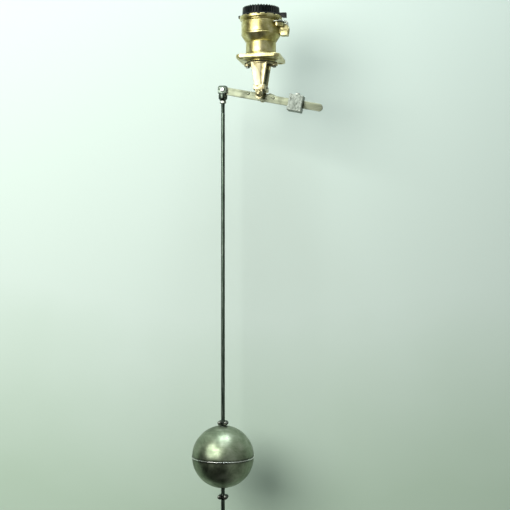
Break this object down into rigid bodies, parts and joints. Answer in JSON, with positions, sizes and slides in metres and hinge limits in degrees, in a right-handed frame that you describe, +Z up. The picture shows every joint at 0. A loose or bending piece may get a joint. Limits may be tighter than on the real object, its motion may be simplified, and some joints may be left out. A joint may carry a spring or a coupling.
{
  "type": "float valve",
  "caption": "Float valve: bronze pilot head on a square flange, counterweighted lever with a magnet arm, and a ball float sliding on a rod between stops.",
  "frame": {"origin": "centre of the mounting flange's underside, on the head's vertical axis", "axes": "+Z up, +X along the lever from the float rod towards the counterweight, the front of the valve faces -Y"},
  "size_m": [0.2781, 0.1344, 1.0855],
  "materials": {
    "bronze": "cast bronze, machined and lightly polished",
    "pale_bronze": "pale cast bronze, satin",
    "black_plastic": "black moulded plastic, satin",
    "rubber": "black sheet rubber",
    "steel": "stainless steel, satin",
    "bright_steel": "stainless steel, bright",
    "lever_steel": "flat stainless bar, mill finish",
    "float_steel": "spun stainless sheet, brushed round the axis",
    "cast_iron": "mottled grey cast iron",
    "magnet": "grey ferrite",
    "brass": "machined brass"
  },
  "bodies": {
    "head": {"valve_body": "bronze", "cover_gasket": "rubber", "outlet_block": "bronze", "lock_disc": "bright_steel", "lock_disc_screw": "bright_steel", "lock_strap": "bright_steel", "lock_strap_screw": "bright_steel", "fulcrum_bracket": "pale_bronze", "bracket_gasket": "rubber", "bracket_screw_left": "steel", "bracket_screw_right": "steel", "stop_screw_left": "steel", "stop_screw_right": "steel", "pivot_pin": "bright_steel", "pivot_clip": "steel", "pivot_washer_front": "steel", "pivot_washer_rear": "steel", "pivot_spacer_front": "brass", "pivot_spacer_rear": "brass", "pilot_frame": "brass", "frame_screw_left": "steel", "frame_screw_right": "steel", "rocker_pin": "steel", "valve_block": "brass", "poppet_spring": "bright_steel", "block_plug": "brass", "block_screw_front": "steel", "block_screw_rear": "steel", "outlet_tube": "brass"},
    "cover": {"cover_cap": "black_plastic"},
    "lever": {"lever_bar": "lever_steel", "magnet_arm": "steel", "arm_rivet_left": "steel", "arm_rivet_right": "steel", "magnet_holder": "brass", "drive_magnet": "magnet"},
    "counterweight": {"counterweight": "cast_iron", "counterweight_screw": "steel"},
    "rod": {"float_rod": "steel", "clevis_fork": "steel", "clevis_pin": "bright_steel", "clevis_clip": "steel", "clevis_lock_nut": "steel"},
    "float": {"float_upper_shell": "float_steel", "float_lower_shell": "float_steel", "float_seam_ring": "float_steel", "float_top_boss": "float_steel", "float_bottom_boss": "float_steel", "float_guide_tube": "steel"},
    "upper_stop": {"upper_stop_clamp": "steel", "upper_stop_screw_left": "bright_steel", "upper_stop_screw_right": "bright_steel"},
    "lower_stop": {"lower_stop_clamp": "steel", "lower_stop_screw_left": "bright_steel", "lower_stop_screw_right": "bright_steel"},
    "rocker": {"rocker": "steel", "follower_magnet": "magnet"},
    "poppet": {"poppet_stem": "steel"}
  },
  "joints": [
    {"name": "lever_swing", "type": "hinge", "parent": "head", "child": "lever", "pos_m": [0, 0, -0.0715], "axis": [0, -1, 0], "range_deg": [0, 22.8]},
    {"name": "rod_swing", "type": "hinge", "parent": "lever", "child": "rod", "pos_m": [-0.0812, 0, -0.058], "axis": [0, -1, 0], "range_deg": [-33, 10]},
    {"name": "float_slide", "type": "slide", "parent": "rod", "child": "float", "axis": [0, 0, 1], "range_m": [-0.0142, 0]},
    {"name": "upper_stop_slide", "type": "slide", "parent": "rod", "child": "upper_stop", "axis": [0, 0, 1], "range_m": [0, 0.65]},
    {"name": "lower_stop_slide", "type": "slide", "parent": "rod", "child": "lower_stop", "axis": [0, 0, 1], "range_m": [-0.05, 0]},
    {"name": "counterweight_slide", "type": "slide", "parent": "lever", "child": "counterweight", "axis": [0.9803, 0, -0.1977], "range_m": [-0.02, 0.034]},
    {"name": "cover_lift", "type": "slide", "parent": "head", "child": "cover", "axis": [0, 0, 1], "range_m": [0, 0.045]},
    {"name": "rocker_swing", "type": "hinge", "parent": "head", "child": "rocker", "pos_m": [0, 0, 0.028], "axis": [0, -1, 0], "range_deg": [0, 24]},
    {"name": "poppet_lift", "type": "slide", "parent": "head", "child": "poppet", "axis": [0, 0, 1], "range_m": [0, 0.0059], "deforming": ["poppet_spring"]}
  ],
  "couplings": [
    {"joint": "rocker_swing", "follows": "lever_swing", "ratio": 1.05},
    {"joint": "poppet_lift", "follows": "lever_swing", "m_per_rad": 0.01459}
  ]
}
